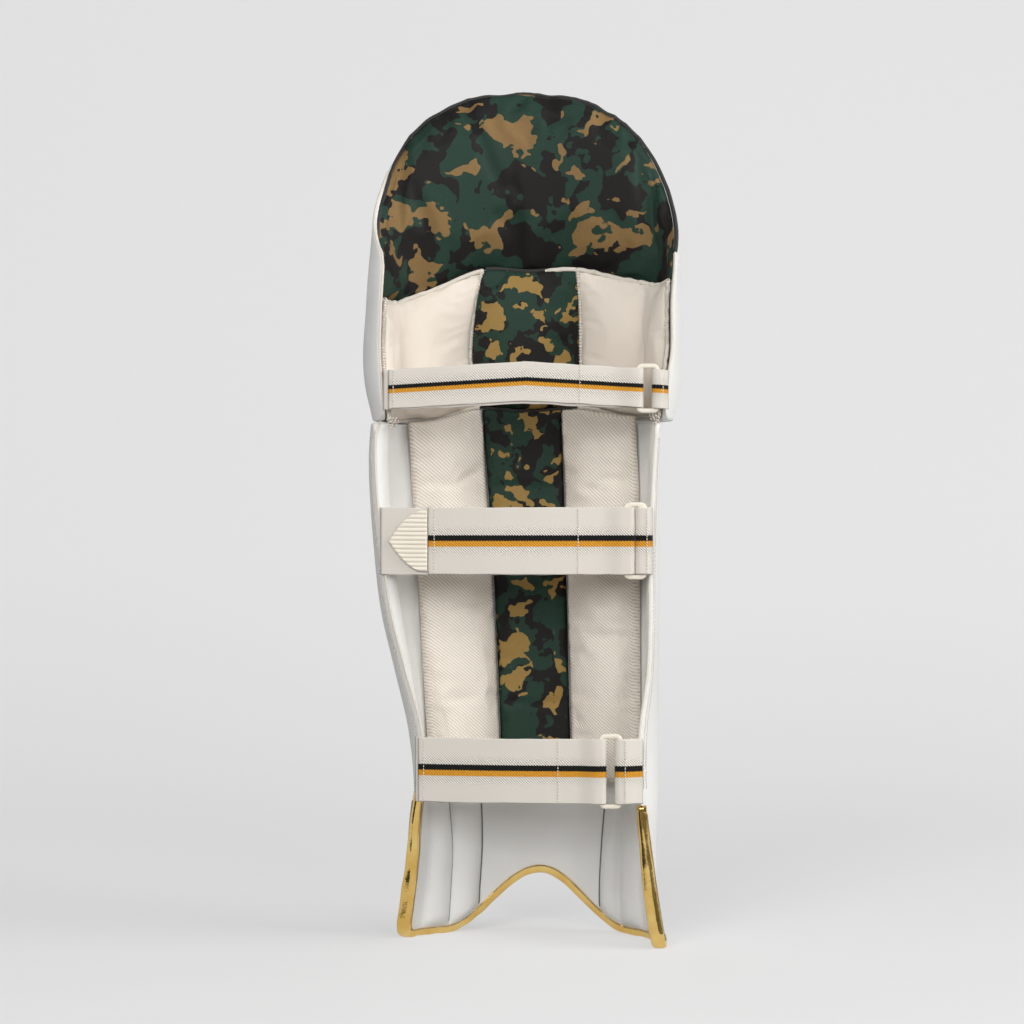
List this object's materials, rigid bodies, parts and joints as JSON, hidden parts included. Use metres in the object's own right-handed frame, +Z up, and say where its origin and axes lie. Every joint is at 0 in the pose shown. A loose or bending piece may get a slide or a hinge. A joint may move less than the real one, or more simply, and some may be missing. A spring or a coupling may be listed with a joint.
{
  "type": "batting pad",
  "caption": "Upright padded leg guard for cricket with an arched thigh flap, knee cushions, shin bolsters, a gold-bound instep and webbing straps through loops.",
  "frame": {"origin": "on the floor under the middle of the pad, with the pad standing on its two feet", "axes": "+Z up along the leg, +Y out of the playing face, -Y the open side with the straps, +X to the right seen from the strap side"},
  "size_m": [0.2794, 0.1355, 0.756],
  "materials": {
    "facing": "white synthetic leather over foam",
    "cotton": "plain cream cotton, stuffed",
    "camouflage": "smooth printed cloth in dark green, near-black and tan",
    "mesh": "cream spacer mesh",
    "webbing": "off-white twill webbing with a black and gold stripe",
    "plastic": "off-white moulded plastic",
    "gold": "shiny gold-coloured edge binding"
  },
  "bodies": {
    "root": {"shin_shell": "facing", "thigh_shell": "facing", "knee_roll_1": "facing", "knee_roll_2": "facing", "knee_roll_3": "facing", "instep_binding": "gold", "shin_bolster_left": "mesh", "shin_bolster_right": "mesh", "shin_strip": "camouflage", "top_cushion": "camouflage", "knee_block": "camouflage", "knee_bolster_left": "cotton", "knee_bolster_right": "cotton", "knee_strap": "webbing", "knee_strap_tab": "webbing", "knee_strap_loop": "plastic", "calf_strap": "webbing", "calf_strap_tab": "webbing", "calf_strap_loop": "plastic", "calf_strap_pull": "plastic", "ankle_strap": "webbing", "ankle_strap_tab": "webbing", "ankle_strap_loop": "plastic"}
  },
  "joints": []
}
